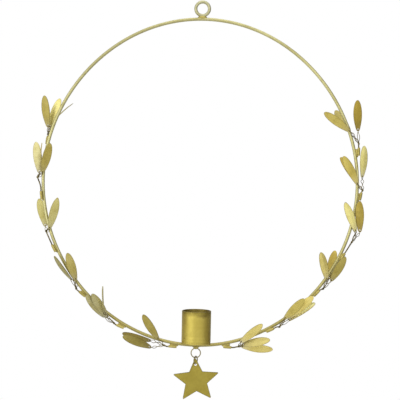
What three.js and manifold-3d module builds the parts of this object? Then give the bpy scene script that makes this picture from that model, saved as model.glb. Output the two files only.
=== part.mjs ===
// Hanging candle holder: an oval wire hoop with leaf sprigs, a candle cup and a star pendant.
// Millimetres, +Z up, the front faces -Y. The origin is the top inside of the hanging eye,
// where a hook or a ribbon bears.

import * as THREE from 'three';
import { mergeVertices } from 'three/addons/utils/BufferGeometryUtils.js';
import Module from 'manifold-3d';

const wasm = await Module();
wasm.setup();

// Clearance between pieces that are brazed, threaded or hung on one another
const seatGap = 0.3;

// Hoop: one length of round wire, a little taller than wide, butt-jointed beside the eye.
// Its middle lies a little to the right of the eye, the cup and the star.
const hoopWidth = 270.2;
const hoopHeight = 280.4;
const hoopSquareness = 0.45;
const hoopShift = 0.9;
const hoopWire = 2.8;
const hoopJointAngle = 88.5;
const hoopJointGap = 0.3;

// Hanging eye, brazed on top of the hoop
const eyeRadius = 5.9;
const eyeWire = 2.8;
const eyeBrazeLength = 8;
const eyeBrazeWidth = 3.6;
const eyeBrazeHeight = 3.2;

// Candle cup for a household candle of 22 mm, standing on the bottom of the hoop
const candleDiameter = 22;
const candleClearance = 1.6;
const cupWall = 0.75;
const cupHeight = 26.6;
const cupBaseThickness = 1.4;
const cupSpigotHeight = 0.5;
const cupLipRound = 0.25;

// Small ring under the hoop, with the solder that holds it
const starRingRadius = 4.05;
const starRingWire = 0.9;
const starRingDrop = 0.75;
const solderWidth = 4.4;
const solderDepth = 2.2;

// Star of sheet metal, a little flattened and hanging slightly turned, and the loose link that it hangs on
const starRadius = 20.1;
const starInnerRadius = 9.8;
const starFlatness = 0.94;
const starTurn = -3.4;
const starThickness = 0.8;
const starTipRounding = 0.8;
const starHoleRadius = 1.15;
const starTipLength = 5.2;
const starTipGap = 0.25;
const linkWire = 0.9;
const linkTurn = 64;

// Stamped leaf: a long oval with a rounded tip, a low crease and a hole at its narrow base
const leafLength = 27.5;
const leafWidth = 7.4;
const leafBaseWidth = 2.6;
const leafThickness = 0.55;
const leafCrease = 0.45;
const leafBow = 0.8;
const leafWidestAt = 0.56;
const leafTipAngle = 74;
const leafHoleRadius = 0.62;
const leafHoleInset = 1.6;

// Stem: thin wires twisted together, looped through the leaves and soldered into a sleeve
const leafWire = 0.5;
const loopSlack = 0.1;
const twistWidth = 1.35;
const twistThickness = 0.85;
const twistPitch = 3.4;
const knotRadius = 0.95;
const sleeveRadius = 1.25;
const sleeveLength = 7;
const sleeveChamfer = 0.3;

// Steps round and along the forms
const hoopSteps = 76;
const hoopSides = 8;
const roomSteps = 6;
const roomSides = 12;
const ringSteps = 22;
const ringSides = 8;
const thinRingSides = 6;
const dropSteps = 10;
const dropRows = 6;
const cupSides = 32;
const starTipSteps = 5;
const starFitPasses = 12;
const leafTaperSteps = 3;
const leafTipSteps = 4;
const leafHoleSides = 6;
const twistStepsPerTurn = 5;
const twistHalfSides = 3;
const wireSides = 4;
const loopSteps = 7;
const sleeveSides = 8;

// What follows from the sizes
const hoopBottomZ = -hoopHeight / 2;
const eyeCentreZ = hoopHeight / 2 + hoopWire / 2 + seatGap + eyeWire / 2 + eyeRadius;
const hookZ = eyeCentreZ + eyeRadius - eyeWire / 2;
const cupInnerRadius = (candleDiameter + candleClearance) / 2;
const cupOuterRadius = cupInnerRadius + cupWall;
const cupBaseZ = hoopBottomZ + hoopWire / 2 + seatGap;
const cupTubeZ = cupBaseZ + cupBaseThickness;
const starRingZ = hoopBottomZ - hoopWire / 2 - starRingDrop - starRingWire / 2 - starRingRadius;
const starRingBottomZ = starRingZ - starRingRadius;
const linkTopZ = starRingBottomZ + starRingWire / 2 + seatGap + linkWire / 2;
const linkRadius = (starRingWire + linkWire + 2 * seatGap + starTipGap + starTipLength - starHoleRadius) / 2;
const linkCentreZ = linkTopZ - linkRadius;
const starHoleZ = linkCentreZ - linkRadius + linkWire / 2 + seatGap - starHoleRadius;
const starTipHeight = starRadius * starFlatness;

// Half the depth of a wire loop at its leaf, and how far apart the leaves of a sprig lie in depth
const loopDepth = leafThickness / 2 + loopSlack + seatGap + leafWire / 2;
const layerDepth = hoopWire / 2 + seatGap + loopDepth + leafWire / 2;

// Sprigs from the top of each side to its bottom. Angles are in degrees and lengths in mm.
// at: place on the hoop, from +X towards +Z. round: how far the sleeve sits round the wire to the front.
// lean: the sleeve's lean away from the hoop. knot: along the hoop towards its top, out from it, forwards.
// leaves: [lean of the wire, its reach from the knot, lean of the leaf outwards, layer from back to front,
// nod of the tip forwards, turn about its own length]
const leftSprigs = [
  { at: 165.7, round: -60, lean: 11.6, knot: [5, 2.4, -2.2], leaves: [
    [12.6, 7.4, 21.6, 0, 2, 15], [1.6, 7.2, -3.4, -1, -10, 20], [-5.4, 12.6, -27.4, -2.6, -32, 78]] },
  { at: 185.8, round: 60, lean: 3.1, knot: [15.8, 3.9, 1], leaves: [
    [-17.9, 5.3, -0.9, 0, 16, -10], [-48.9, 7, -21.9, 1.2, 16, -20], [-27.9, 6.4, -1.9, -1.3, -22, 82]] },
  { at: 205.4, round: 45, lean: 4.9, knot: [16.2, 2.9, 0], leaves: [
    [-10.1, 5.4, -6.1, -1, -25, -10], [-70.1, 4.8, -39.1, 1, 4, -15], [-59.1, 4.8, -36.1, -2, -12, 35]] },
  { at: 224.6, round: 40, lean: 10.1, knot: [6.8, 3.9, 0.5], leaves: [
    [-12, 9.6, -8.9, 0, 22, 54], [-39.9, 9, -27.9, 1.4, 26, -10], [-21.9, 9.5, -7.9, -1.7, -14, 84]] },
  { at: 242.1, round: 20, lean: 8.4, knot: [5.8, 3.7, 0.5], leaves: [
    [-4.6, 11, -22.6, 0.5, 24, -6], [-14.6, 8.9, -29.6, 1.4, 26, -12], [-25.6, 13.3, -57.6, 3.8, 28, 76]] },
  { at: 261.6, round: 0, lean: 6, knot: [7.4, 3.6, 0.6], leaves: [
    [-41, 8.9, -50, 1.3, 21, 20], [-7, 13.7, 0, -0.5, -21, 30], [15, 12.6, -14, 0.5, 19, -25]] },
];
const rightSprigs = [
  { at: 12.1, round: 15, lean: 11.7, knot: [6.8, 4.9, 0.3], leaves: [
    [-29.3, 14.6, -43.3, 1.3, 2, 10], [-23.3, 13.8, -18.3, -1.4, -36, -20], [7.7, 12.4, 6.7, 0, 20, -15]] },
  { at: 356.1, round: 0, lean: 7.1, knot: [5.4, 4.6, 0], leaves: [
    [-45.9, 8.3, -31.9, 1.2, 1, 10], [-5.9, 12.7, -2.9, 0, 11, 25], [-41.9, 8.6, -34.9, -1, -12, 35]] },
  { at: 333.5, round: 40, lean: 4, knot: [14.9, 4, 0.5], leaves: [
    [-13, 10.9, -49, 1, 13, 15], [7, 12.2, -29, 0.4, 12, -10], [-11, 10.5, -43, -1, -15, 30]] },
  { at: 317.5, round: 65, lean: 4, knot: [6.5, 3.2, 1], leaves: [
    [-27, 9.8, -57, 2, 24, 20], [-11, 10.8, -25, -1, -24, -20], [1, 10.8, -16, 1, 28, 10]] },
  { at: 296.4, round: 60, lean: 6.4, knot: [8.4, 3.1, 1], leaves: [
    [-32.6, 9.7, -22.6, 2, 28, 10], [-17.6, 13.4, -13.6, 1, 4, -10], [-5.6, 11.2, -6.6, -0.3, 5, -54]] },
  { at: 280.5, round: 0, lean: 15.2, knot: [9.5, 5, 0], leaves: [
    [-51.8, 5.5, -32.8, 1, 25, 15], [-8.8, 4.2, -4.8, 0, 27, -25], [20.2, 4.4, 17.2, -1, -6, 15]] },
];

const brass = { color: 0xb59a3c, roughness: 0.42, metalness: 0.9 };
const paleBrass = { color: 0xc4ae55, roughness: 0.4, metalness: 0.9 };
const leafBrass = { color: 0xbfa54c, roughness: 0.48, metalness: 0.85 };
const steelWire = { color: 0x7d7a66, roughness: 0.45, metalness: 0.9 };

function radians(degrees) {
  return THREE.MathUtils.degToRad(degrees);
}

// A closed geometry as a solid for joins and cuts
function solidOf(geometry) {
  const bare = geometry.clone();
  bare.deleteAttribute('normal');
  bare.deleteAttribute('uv');
  const merged = mergeVertices(bare);
  return new wasm.Manifold(new wasm.Mesh({
    numProp: 3,
    vertProperties: Float32Array.from(merged.attributes.position.array),
    triVerts: Uint32Array.from(merged.index.array),
  }));
}

function geometryOf(solid) {
  const mesh = solid.getMesh();
  const geometry = new THREE.BufferGeometry();
  geometry.setAttribute('position', new THREE.BufferAttribute(Float32Array.from(mesh.vertProperties), 3));
  geometry.setIndex(Array.from(mesh.triVerts));
  return geometry;
}

function joined(geometries) {
  return geometries.map(solidOf).reduce((whole, piece) => whole.add(piece));
}

function named(name, geometry, finish) {
  const mesh = new THREE.Mesh(geometry, new THREE.MeshStandardMaterial(finish));
  mesh.name = name;
  return mesh;
}

function roundSection(radius, sides) {
  const points = [];
  for (let i = 0; i < sides; i += 1) {
    const angle = (2 * Math.PI * i) / sides;
    points.push(new THREE.Vector2(radius * Math.cos(angle), radius * Math.sin(angle)));
  }
  return new THREE.Shape(points);
}

function rod(path, radius, sides, steps) {
  return new THREE.ExtrudeGeometry(roundSection(radius, sides), { extrudePath: path, steps });
}

// Distance of the hoop's middle line from the hoop's centre, at an angle from +X
function hoopRadiusAt(angle) {
  const stretch = (hoopHeight - hoopWidth) / 4;
  const mean = (hoopHeight + hoopWidth) / 4 - hoopSquareness;
  return mean - stretch * Math.cos(2 * angle) + hoopSquareness * Math.cos(4 * angle);
}

function hoopPoint(angle) {
  const radius = hoopRadiusAt(angle);
  return new THREE.Vector3(hoopShift + radius * Math.cos(angle), 0, radius * Math.sin(angle));
}

class HoopPath extends THREE.Curve {
  constructor(from, to) {
    super();
    this.from = from;
    this.to = to;
  }

  getPoint(t) {
    return hoopPoint(this.from + (this.to - this.from) * t);
  }
}

// Direction square to the wire that points out of the hoop, at an angle from +X
function hoopOutward(angle) {
  const step = radians(1);
  const along = hoopPoint(angle + step).sub(hoopPoint(angle - step)).normalize();
  return new THREE.Vector3(along.z, 0, -along.x);
}

function hoop() {
  const start = radians(hoopJointAngle);
  const end = start + 2 * Math.PI - hoopJointGap / hoopRadiusAt(start);
  return rod(new HoopPath(start, end), hoopWire / 2, hoopSides, hoopSteps);
}

// The space that a brazed piece leaves free round the hoop's wire near an angle
function hoopRoom(angle, span) {
  const half = span / hoopRadiusAt(angle);
  const radius = (hoopWire / 2 + seatGap) / Math.cos(Math.PI / roomSides);
  return solidOf(rod(new HoopPath(angle - half, angle + half), radius, roomSides, roomSteps));
}

// An egg-shaped drop of braze metal
function brazeDrop(lengthX, widthY, heightZ, centreZ) {
  const drop = new THREE.SphereGeometry(1 / 2, dropSteps, dropRows);
  drop.rotateX(Math.PI / 2);
  drop.scale(lengthX, widthY, heightZ);
  drop.translate(0, 0, centreZ);
  return drop;
}

// A closed round ring in the XZ plane
function wireRing(radius, wire, sides) {
  const ring = new THREE.TorusGeometry(radius, wire / 2, sides, ringSteps);
  ring.rotateX(Math.PI / 2);
  return ring;
}

function hangingEye() {
  const ring = wireRing(eyeRadius, eyeWire, ringSides);
  ring.translate(0, 0, eyeCentreZ);
  const foot = brazeDrop(eyeBrazeLength, eyeBrazeWidth, eyeBrazeHeight, hoopHeight / 2 + hoopWire / 2);
  return geometryOf(joined([ring, foot]).subtract(hoopRoom(Math.PI / 2, eyeBrazeLength)));
}

function candleCup() {
  const lip = cupLipRound;
  const top = cupHeight;
  const profile = [
    [cupInnerRadius, 0], [cupOuterRadius, 0], [cupOuterRadius, top - lip], [cupOuterRadius - lip, top],
    [cupInnerRadius + lip, top], [cupInnerRadius, top - lip], [cupInnerRadius, 0],
  ].map(([radius, z]) => new THREE.Vector2(radius, z));
  const tube = new THREE.LatheGeometry(profile, cupSides);
  tube.rotateX(Math.PI / 2);
  return tube;
}

// The disc that closes the cup. A low spigot on it centres the tube and carries the candle,
// and a saddle is cut below for the curved wire that it stands on.
function cupBase() {
  const spigotRadius = cupInnerRadius - seatGap;
  const top = cupBaseThickness + cupSpigotHeight;
  const profile = [
    [0, 0], [cupOuterRadius, 0], [cupOuterRadius, cupBaseThickness],
    [spigotRadius, cupBaseThickness], [spigotRadius, top], [0, top],
  ].map(([radius, z]) => new THREE.Vector2(radius, z));
  const disc = new THREE.LatheGeometry(profile, cupSides);
  disc.rotateX(Math.PI / 2);
  disc.translate(0, 0, cupBaseZ);
  return geometryOf(solidOf(disc).subtract(hoopRoom(-Math.PI / 2, 2 * cupOuterRadius)));
}

function starRing() {
  const ring = wireRing(starRingRadius, starRingWire, thinRingSides);
  ring.translate(0, 0, starRingZ);
  const top = hoopBottomZ - hoopWire / 2;
  const bottom = starRingZ + starRingRadius - starRingWire;
  const solder = brazeDrop(solderWidth, solderDepth, top - bottom + hoopWire / 2, (top + bottom) / 2);
  return geometryOf(joined([ring, solder]).subtract(hoopRoom(-Math.PI / 2, 2 * solderWidth)));
}

function linkRing() {
  return wireRing(linkRadius, linkWire, thinRingSides);
}

// Five points with rounded tips and sharp inner corners, in the XZ plane about the middle of the hole
function starPendant() {
  const points = 5;
  const half = Math.PI / points;
  const innerX = starInnerRadius * Math.sin(half);
  const innerY = starInnerRadius * Math.cos(half);
  let sharp = starRadius;
  let slope = 0;
  for (let pass = 0; pass < starFitPasses; pass += 1) {
    slope = Math.atan2(innerX, sharp - innerY);
    sharp = starRadius + starTipRounding * (1 / Math.sin(slope) - 1);
  }
  const outline = new THREE.Shape();
  for (let i = 0; i < points; i += 1) {
    const turn = Math.PI / 2 + 2 * half * i;
    const bend = Math.PI / 2 - slope;
    const tipX = (starRadius - starTipRounding) * Math.cos(turn);
    const tipY = (starRadius - starTipRounding) * Math.sin(turn);
    outline.absarc(tipX, tipY, starTipRounding, turn - bend, turn + bend);
    outline.lineTo(starInnerRadius * Math.cos(turn + half), starInnerRadius * Math.sin(turn + half));
  }
  const hole = new THREE.Path();
  const holeHeight = starTipHeight - starTipLength;
  hole.absellipse(0, holeHeight / starFlatness, starHoleRadius, starHoleRadius / starFlatness, 0, 2 * Math.PI, true);
  outline.holes.push(hole);
  const sheet = new THREE.ExtrudeGeometry(outline, {
    depth: starThickness, bevelEnabled: false, curveSegments: starTipSteps,
  });
  sheet.scale(1, starFlatness, 1);
  sheet.translate(0, -holeHeight, -starThickness / 2);
  sheet.rotateX(Math.PI / 2);
  return sheet;
}

// Cross-sections of a leaf from its base to its tip, as [place along the leaf, half width]
function leafStations() {
  const half = leafWidth / 2;
  const base = leafBaseWidth / 2;
  const widest = leafLength * leafWidestAt;
  const stations = [];
  for (let i = 0; i < leafTaperSteps; i += 1) {
    const t = i / leafTaperSteps;
    stations.push([widest * t, base + (half - base) * Math.sin((Math.PI / 2) * t)]);
  }
  const lastAngle = radians(leafTipAngle);
  for (let i = 0; i <= leafTipSteps; i += 1) {
    const angle = (lastAngle * i) / leafTipSteps;
    const y = widest + ((leafLength - widest) * Math.sin(angle)) / Math.sin(lastAngle);
    stations.push([y, half * Math.cos(angle)]);
  }
  return stations;
}

// How far the leaf's middle line bows to the front, by the place along it
function leafBowAt(y) {
  const rise = (place) => 1 - (2 * place / leafLength - 1) ** 2;
  return leafBow * (rise(y) - rise(leafHoleInset));
}

// Leaf with its length on +Y and its front on +Z, and the middle of its hole at the origin
function leaf() {
  const corners = [];
  for (const [y, half] of leafStations()) {
    const z = leafBowAt(y);
    const ridge = (leafCrease * (2 * half - leafBaseWidth)) / (leafWidth - leafBaseWidth);
    const back = z - leafThickness / 2;
    const front = z + leafThickness / 2;
    corners.push([
      [-half, back], [0, back + ridge], [half, back], [half, front], [0, front + ridge], [-half, front],
    ].map(([x, height]) => [x, y - leafHoleInset, height]));
  }
  const sides = corners[0].length;
  const index = [];
  for (let s = 0; s < corners.length - 1; s += 1) {
    for (let i = 0; i < sides; i += 1) {
      const a = s * sides + i;
      const b = s * sides + (i + 1) % sides;
      index.push(a, a + sides, b, b, a + sides, b + sides);
    }
  }
  const last = (corners.length - 1) * sides;
  for (const [a, b, c] of [[0, 1, 5], [5, 1, 4], [4, 1, 2], [4, 2, 3]]) {
    index.push(a, b, c, last + a, last + c, last + b);
  }
  const blade = new THREE.BufferGeometry();
  blade.setAttribute('position', new THREE.Float32BufferAttribute(corners.flat(2), 3));
  blade.setIndex(index);
  const drillLength = 4 * leafThickness;
  const drill = new THREE.CylinderGeometry(leafHoleRadius, leafHoleRadius, drillLength, leafHoleSides);
  drill.rotateX(Math.PI / 2);
  return geometryOf(solidOf(blade).subtract(solidOf(drill)));
}

// A bundle of wires as a flat bar that turns about its own path
class TwistPath extends THREE.QuadraticBezierCurve3 {
  computeFrenetFrames(segments, closed) {
    const frames = super.computeFrenetFrames(segments, closed);
    for (let i = 0; i <= segments; i += 1) {
      const angle = (2 * Math.PI * i) / twistStepsPerTurn;
      frames.normals[i].applyAxisAngle(frames.tangents[i], angle);
      frames.binormals[i].applyAxisAngle(frames.tangents[i], angle);
    }
    return frames;
  }
}

function twist(from, heading, to) {
  const length = from.distanceTo(to);
  const path = new TwistPath(from, from.clone().addScaledVector(heading, length / 2), to);
  const outline = new THREE.Path();
  outline.absellipse(0, 0, twistWidth / 2, twistThickness / 2, 0, 2 * Math.PI);
  const section = new THREE.Shape(outline.getPoints(twistHalfSides));
  const steps = Math.max(2, Math.round((twistStepsPerTurn * length) / twistPitch));
  return new THREE.ExtrudeGeometry(section, { extrudePath: path, steps });
}

// A wire from the knot through the leaf's hole and back, bent round the leaf's base
class LoopPath extends THREE.Curve {
  constructor(knot, leafPlace) {
    super();
    const inHole = leafThickness / 2 + loopSlack;
    const neck = leafHoleInset + seatGap + leafWire / 2;
    const atLeaf = [
      [-neck, loopDepth], [-leafHoleRadius, loopDepth], [0, inHole],
      [0, -inHole], [-leafHoleRadius, -loopDepth], [-neck, -loopDepth],
    ].map(([y, z]) => new THREE.Vector3(0, y, z).applyMatrix4(leafPlace));
    const forward = new THREE.Vector3(0, 0, leafWire);
    this.points = [knot.clone().add(forward), ...atLeaf, knot.clone().sub(forward)];
  }

  getPoint(t) {
    const place = THREE.MathUtils.clamp(t, 0, 1) * (this.points.length - 1);
    const first = Math.min(Math.floor(place), this.points.length - 2);
    return this.points[first].clone().lerp(this.points[first + 1], place - first);
  }

  getUtoTmapping(u) {
    return u;
  }
}

function sleeve(from, heading) {
  const faceRadius = sleeveRadius - sleeveChamfer;
  const profile = [
    [0, 0], [faceRadius, 0], [sleeveRadius, sleeveChamfer],
    [sleeveRadius, sleeveLength - sleeveChamfer], [faceRadius, sleeveLength], [0, sleeveLength],
  ].map(([radius, y]) => new THREE.Vector2(radius, y));
  const tube = new THREE.LatheGeometry(profile, sleeveSides);
  tube.applyQuaternion(new THREE.Quaternion().setFromUnitVectors(new THREE.Vector3(0, 1, 0), heading));
  tube.translate(from.x, from.y, from.z);
  return tube;
}

// One sprig. Its own frame has +Y along the hoop towards the top and +Z to the front,
// and side turns "out from the hoop" into +X on the right and -X on the left.
function sprig(side, name, number, { at, round, lean, knot, leaves }) {
  const place = (along, out, front) => new THREE.Vector3(side * out, along, front);
  const offset = hoopWire / 2 + seatGap + sleeveRadius;
  const outShare = Math.cos(radians(round));
  const frontShare = Math.sin(radians(round));
  const sleeveStart = place(-sleeveLength / 2, offset * outShare, offset * frontShare);
  const rise = Math.sin(radians(lean));
  const heading = place(Math.cos(radians(lean)), rise * outShare, rise * frontShare);
  const sleeveEnd = sleeveStart.clone().addScaledVector(heading, sleeveLength);
  const knotPlace = place(...knot);
  const pieces = [
    sleeve(sleeveStart, heading),
    twist(sleeveEnd.clone().addScaledVector(heading, -sleeveChamfer), heading, knotPlace),
    new THREE.IcosahedronGeometry(knotRadius).translate(knotPlace.x, knotPlace.y, knotPlace.z),
  ];
  const group = new THREE.Group();
  leaves.forEach(([wireLean, reach, leafLean, layer, nod, turn], index) => {
    const blade = named(`${name}_leaf_${number}${'abc'[index]}`, leaf(), leafBrass);
    const along = knot[0] + reach * Math.cos(radians(wireLean));
    const out = knot[1] + reach * Math.sin(radians(wireLean));
    blade.position.copy(place(along, out, layer * layerDepth));
    blade.rotation.set(radians(nod), radians(side * turn), radians(-side * leafLean), 'ZXY');
    blade.updateMatrix();
    pieces.push(rod(new LoopPath(knotPlace, blade.matrix), leafWire / 2, wireSides, loopSteps));
    group.add(blade);
  });
  group.add(named(`${name}_stem_${number}`, geometryOf(joined(pieces)), steelWire));

  const angle = radians(at);
  const outward = hoopOutward(angle);
  const forward = new THREE.Vector3(0, -1, 0);
  const right = outward.clone().multiplyScalar(side);
  const upward = forward.clone().cross(right);
  group.quaternion.setFromRotationMatrix(new THREE.Matrix4().makeBasis(right, upward, forward));
  group.position.copy(hoopPoint(angle));
  return group;
}

function placed(mesh, z) {
  mesh.position.z = z;
  return mesh;
}

function candleHolder() {
  const holder = new THREE.Group();
  holder.add(named('hoop', hoop(), brass));
  holder.add(named('hanging_eye', hangingEye(), paleBrass));
  holder.add(named('cup_base', cupBase(), brass));
  holder.add(placed(named('candle_cup', candleCup(), brass), cupTubeZ));
  holder.add(named('star_ring', starRing(), steelWire));
  const link = placed(named('link_ring', linkRing(), steelWire), linkCentreZ);
  link.rotation.z = radians(linkTurn);
  holder.add(link);
  const star = placed(named('star_pendant', starPendant(), brass), starHoleZ);
  star.rotation.y = radians(starTurn);
  holder.add(star);
  leftSprigs.forEach((sizes, index) => holder.add(sprig(-1, 'left', index + 1, sizes)));
  rightSprigs.forEach((sizes, index) => holder.add(sprig(1, 'right', index + 1, sizes)));
  holder.position.z = -hookZ;
  return holder;
}

const group = candleHolder();
export default group;
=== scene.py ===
import random
from math import atan2, cos, hypot, pi, radians, sin, sqrt, tan

import bpy
from mathutils import Matrix, Quaternion, Vector


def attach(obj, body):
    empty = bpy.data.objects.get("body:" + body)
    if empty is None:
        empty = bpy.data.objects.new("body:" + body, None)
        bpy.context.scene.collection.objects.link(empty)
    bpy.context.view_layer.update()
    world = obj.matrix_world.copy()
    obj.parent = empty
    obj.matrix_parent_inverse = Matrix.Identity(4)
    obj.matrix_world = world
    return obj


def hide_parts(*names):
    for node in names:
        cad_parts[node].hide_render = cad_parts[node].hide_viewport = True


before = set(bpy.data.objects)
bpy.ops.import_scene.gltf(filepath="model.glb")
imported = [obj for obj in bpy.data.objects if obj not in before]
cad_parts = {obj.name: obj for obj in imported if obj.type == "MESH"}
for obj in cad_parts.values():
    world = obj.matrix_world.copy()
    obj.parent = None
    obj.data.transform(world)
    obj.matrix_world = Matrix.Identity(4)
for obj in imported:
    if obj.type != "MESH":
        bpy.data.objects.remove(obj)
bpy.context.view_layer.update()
mm = 0.001
random.seed(12)
seatGap = 0.3  # free space between pieces that are brazed or hung on one another
samePlace = 0.001  # points closer than this are one point
flatwise = 0.9  # a face whose normal goes further along an axis than this lies across that axis


# everything is deselected first, because an operator acts on all that is selected
def deselectAll():
    if bpy.context.object and bpy.context.object.mode != 'OBJECT':
        bpy.ops.object.mode_set(mode='OBJECT')
    bpy.ops.object.select_all(action='DESELECT')


def pickOnly(piece):
    deselectAll()
    piece.select_set(True)
    bpy.context.view_layer.objects.active = piece


def applyModifiers(piece):
    pickOnly(piece)
    for modifier in list(piece.modifiers):
        bpy.ops.object.modifier_apply(modifier=modifier.name)


def applyPlace(piece):
    pickOnly(piece)
    bpy.ops.object.transform_apply(location=True, rotation=True, scale=True)


def joinPieces(pieces):
    deselectAll()
    for piece in pieces:
        piece.select_set(True)
    bpy.context.view_layer.objects.active = pieces[0]
    bpy.ops.object.join()
    return bpy.context.object


def smoothByAngle(piece, degrees):
    pickOnly(piece)
    bpy.ops.object.shade_smooth_by_angle(angle=radians(degrees))


def endEdit():
    bpy.ops.object.mode_set(mode='OBJECT')


def extrude(way):
    bpy.ops.mesh.extrude_region_move(TRANSFORM_OT_translate={'value': way})


def resize(x, y, z, centre=(0, 0, 0)):
    bpy.ops.transform.resize(value=(x, y, z), center_override=centre)


# opens edit mode with only the faces or points selected that pass a test
def editParts(piece, kind, parts, test):
    pickOnly(piece)
    bpy.ops.object.mode_set(mode='EDIT')
    bpy.ops.mesh.select_mode(type=kind)
    bpy.ops.mesh.select_all(action='DESELECT')
    endEdit()
    for part in getattr(piece.data, parts):
        part.select = test(part)
    bpy.ops.object.mode_set(mode='EDIT')


def editFaces(piece, test):
    editParts(piece, 'FACE', 'polygons', test)


def editPoints(piece, test):
    editParts(piece, 'VERT', 'vertices', lambda point: test(point.co))


def addModifier(piece, kind, **settings):
    modifier = piece.modifiers.new(kind.lower(), kind)
    for key, value in settings.items():
        setattr(modifier, key, value)


def roundEdges(piece, width, segments=2, above=40):
    addModifier(piece, 'BEVEL', width=width * mm, segments=segments, limit_method='ANGLE',
                angle_limit=radians(above))


# a number on each point of a mesh, which its finish reads
def markPoints(piece, name, markAt):
    mark = piece.data.attributes.new(name, 'FLOAT', 'POINT')
    for point in piece.data.vertices:
        mark.data[point.index].value = markAt(point.co)


def dress(piece, name, material, body, slot, *nodes):
    applyPlace(piece)
    piece.name = name
    piece.data.name = name
    piece.data.materials.clear()
    piece.data.materials.append(material)
    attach(piece, body)
    if nodes:
        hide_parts(*nodes)


# lines of points become round wires in one mesh
def layWire(lines, thickness, rounding):
    deselectAll()
    bpy.ops.curve.primitive_nurbs_path_add(location=(0, 0, 0))
    wire = bpy.context.object
    wire.data.splines.clear()
    for line in lines:
        spline = wire.data.splines.new('POLY')
        spline.points.add(len(line) - 1)
        for point, place in zip(spline.points, line):
            point.co = (place[0], place[1], place[2], 1)
    wire.data.bevel_depth = thickness / 2 * mm
    wire.data.bevel_resolution = rounding
    wire.data.use_fill_caps = True
    bpy.ops.object.convert(target='MESH')
    wire = bpy.context.object
    editFaces(wire, lambda face: True)
    bpy.ops.mesh.remove_doubles(threshold=samePlace * mm)  # joins the caps to the wire's ends
    endEdit()
    smoothByAngle(wire, 50)
    return wire


# a smooth line through a few points
def smoothLine(points, steps):
    line = []
    for i in range(len(points) - 1):
        here, there = points[i], points[i + 1]
        before = points[i - 1] if i else here * 2 - there
        after = points[i + 2] if i + 2 < len(points) else there * 2 - here
        for k in range(steps):
            t = k / steps
            line.append(0.5 * (2 * here + (there - before) * t
                               + (2 * before - 5 * here + 4 * there - after) * t * t
                               + (3 * here - before - 3 * there + after) * t ** 3))
    line.append(points[-1].copy())
    return line


# a strand that winds round a line
def windRound(line, radius, pitch, start):
    along = (line[1] - line[0]).normalized()
    side = along.orthogonal().normalized()
    strand = []
    gone = 0.0
    for i, place in enumerate(line):
        if i:
            gone += (place - line[i - 1]).length
        heading = (line[min(i + 1, len(line) - 1)] - line[max(i - 1, 0)]).normalized()
        side = (along.rotation_difference(heading) @ side).normalized()
        along = heading
        strand.append(place + (Quaternion(along, start + 2 * pi * gone / pitch) @ side) * radius)
    return strand


# a written screen colour as the linear colour that nodes use
def screenColour(red, green, blue):
    def straight(value):
        value = value / 255
        return value / 12.92 if value <= 0.04045 else ((value + 0.055) / 1.055) ** 2.4
    return (straight(red), straight(green), straight(blue), 1)


def addNode(tree, kind, inputs, **settings):
    node = tree.nodes.new('ShaderNode' + kind)
    for key, value in settings.items():
        setattr(node, key, value)
    for key, value in inputs.items():
        if isinstance(value, bpy.types.NodeSocket):
            tree.links.new(value, node.inputs[key])
        else:
            node.inputs[key].default_value = value
    return node


def addNoise(tree, place, scale, detail=3, stretch=(1, 1, 1)):
    moved = addNode(tree, 'Mapping', {'Vector': place, 'Scale': stretch})
    noise = addNode(tree, 'TexNoise', {'Vector': moved.outputs[0], 'Scale': scale, 'Detail': detail})
    return noise.outputs[0]


def spread(tree, value, low, high, first=0.0, last=1.0):
    inputs = {'Value': value, 'From Min': low, 'From Max': high, 'To Min': first, 'To Max': last}
    return addNode(tree, 'MapRange', inputs).outputs[0]


def addUp(tree, first, second):
    return addNode(tree, 'Math', {0: first, 1: second}, operation='ADD').outputs[0]


# the second colour is a written screen colour, and the first may be one too
def mixColours(tree, share, first, second):
    if not isinstance(first, bpy.types.NodeSocket):
        first = screenColour(*first)
    inputs = {0: share, 6: first, 7: screenColour(*second)}
    return addNode(tree, 'Mix', inputs, data_type='RGBA').outputs[2]


def readMark(tree, name):
    return addNode(tree, 'Attribute', {}, attribute_name=name).outputs['Fac']


# what is alike on every finish: the bands of a noise or mark that show, and how far a noise pushes
finishMarks = {'noiseBand': (0.3, 0.7), 'patchBand': (0.36, 0.64), 'stainBand': (0.54, 0.7),
               'baseBand': (0.34, 0.03), 'darkSpotBand': (1.2, 0.3), 'streakPush': 0.1, 'ringPush': 0.08,
               'rimPush': 0.12, 'rimScale': 700, 'darkSpotPush': 0.25, 'darkSpotScale': 500,
               'wear': (-0.05, 0.07), 'lacquerRoughness': 0.35, 'bumpDepth': 0.0001}


# a noise that pushes up and down by an amount
def push(tree, noise, amount):
    return spread(tree, noise, *finishMarks['noiseBand'], -amount, amount)


# soft patches of two tones, with streaks or turned rings where a piece has them, and stains
def patchedColour(tree, values, coordinates, rings):
    place = coordinates.outputs['Object']
    patches = addNoise(tree, place, values['patchScale'])
    if 'streaks' in values:
        streaks = addNoise(tree, coordinates.outputs['UV'], 1.0, 3, values['streaks'])
        patches = addUp(tree, patches, push(tree, streaks, finishMarks['streakPush']))
    if rings is not None:
        patches = addUp(tree, patches, push(tree, rings, finishMarks['ringPush']))
    darker = spread(tree, patches, *finishMarks['patchBand'])
    colour = mixColours(tree, darker, values['light'], values['dark'])
    stains = addNoise(tree, place, values['stainScale'], 4)
    stained = spread(tree, stains, *finishMarks['stainBand'], 0, values['stainShare'])
    return mixColours(tree, stained, colour, values['stain'])
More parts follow.
